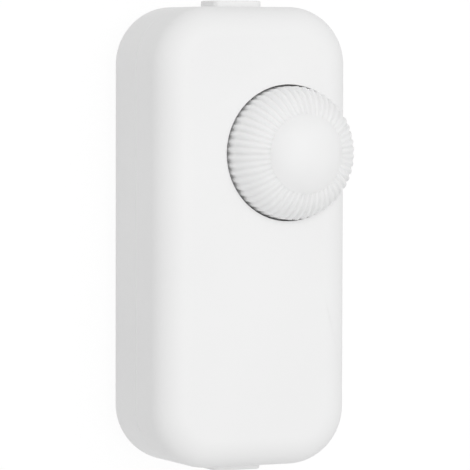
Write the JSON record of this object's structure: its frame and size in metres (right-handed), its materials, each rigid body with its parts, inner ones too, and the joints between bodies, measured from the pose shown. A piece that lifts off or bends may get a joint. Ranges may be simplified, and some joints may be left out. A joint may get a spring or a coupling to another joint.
{
  "type": "inline rotary dimmer",
  "caption": "Inline lamp cord dimmer: rounded two-shell housing with a cord collar at each end and a ribbed, domed knob turning in a round well near one edge of the face.",
  "frame": {"origin": "middle of the flat rear face, which is the face that the dimmer lies on", "axes": "+Z out of the front face along the knob's axis; +Y along the housing and the cord, towards the end beside the knob; +X to the right seen from the front, knob nearer +X"},
  "size_m": [0.039, 0.0884, 0.0375],
  "materials": {
    "housing_plastic": "satin moulded white",
    "knob_plastic": "satin moulded white",
    "zinc_steel": "zinc plated",
    "spring_steel": "blued spring steel",
    "clamp_plastic": "natural nylon",
    "board_laminate": "solder-masked laminate",
    "terminal_plastic": "moulded grey nylon",
    "cage_brass": "plated brass",
    "fuse_glass": "clear glass",
    "nickel_brass": "nickel plated",
    "capacitor_case": "moulded case",
    "film_capacitor": "dipped lacquer",
    "ferrite": "sintered ferrite",
    "enamelled_copper": "enamelled wire",
    "aluminium": "sheet aluminium",
    "epoxy_black": "moulded epoxy",
    "tinned_copper": "tinned",
    "resistor_lacquer": "lacquered",
    "diac_glass": "lacquered glass",
    "phenolic": "phenolic board",
    "switch_plastic": "moulded black",
    "carbon_track": "printed carbon",
    "wiper_bronze": "phosphor bronze"
  },
  "bodies": {
    "housing": {"front_shell": "housing_plastic", "rear_shell": "housing_plastic", "housing_screws": "zinc_steel", "input_cord_clamp": "clamp_plastic", "output_cord_clamp": "clamp_plastic", "cord_clamp_screws": "zinc_steel", "circuit_board": "board_laminate", "board_screws": "zinc_steel", "input_terminal_block": "terminal_plastic", "output_terminal_block": "terminal_plastic", "terminal_clamps": "cage_brass", "terminal_screws": "zinc_steel", "fuse_tube": "fuse_glass", "fuse_caps": "nickel_brass", "fuse_wire": "tinned_copper", "fuse_clips": "nickel_brass", "interference_capacitor": "capacitor_case", "timing_capacitor": "film_capacitor", "choke_core": "ferrite", "choke_winding": "enamelled_copper", "heat_sink": "aluminium", "triac_tab": "tinned_copper", "triac_body": "epoxy_black", "triac_screw": "zinc_steel", "triac_nut": "zinc_steel", "resistors": "resistor_lacquer", "diac": "diac_glass", "switch_module": "switch_plastic", "potentiometer_wafer": "phenolic", "potentiometer_terminals": "nickel_brass", "resistive_track": "carbon_track", "potentiometer_case": "zinc_steel", "potentiometer_bushing": "nickel_brass"},
    "rotor": {"knob": "knob_plastic", "knob_clip": "spring_steel", "potentiometer_shaft": "aluminium", "wiper_carrier": "phenolic", "wiper_contact": "wiper_bronze"}
  },
  "joints": [
    {"name": "knob_turn", "type": "hinge", "parent": "housing", "child": "rotor", "pos_m": [0.0061, 0.0158, 0], "axis": [0, 0, -1], "range_deg": [0, 300]}
  ]
}
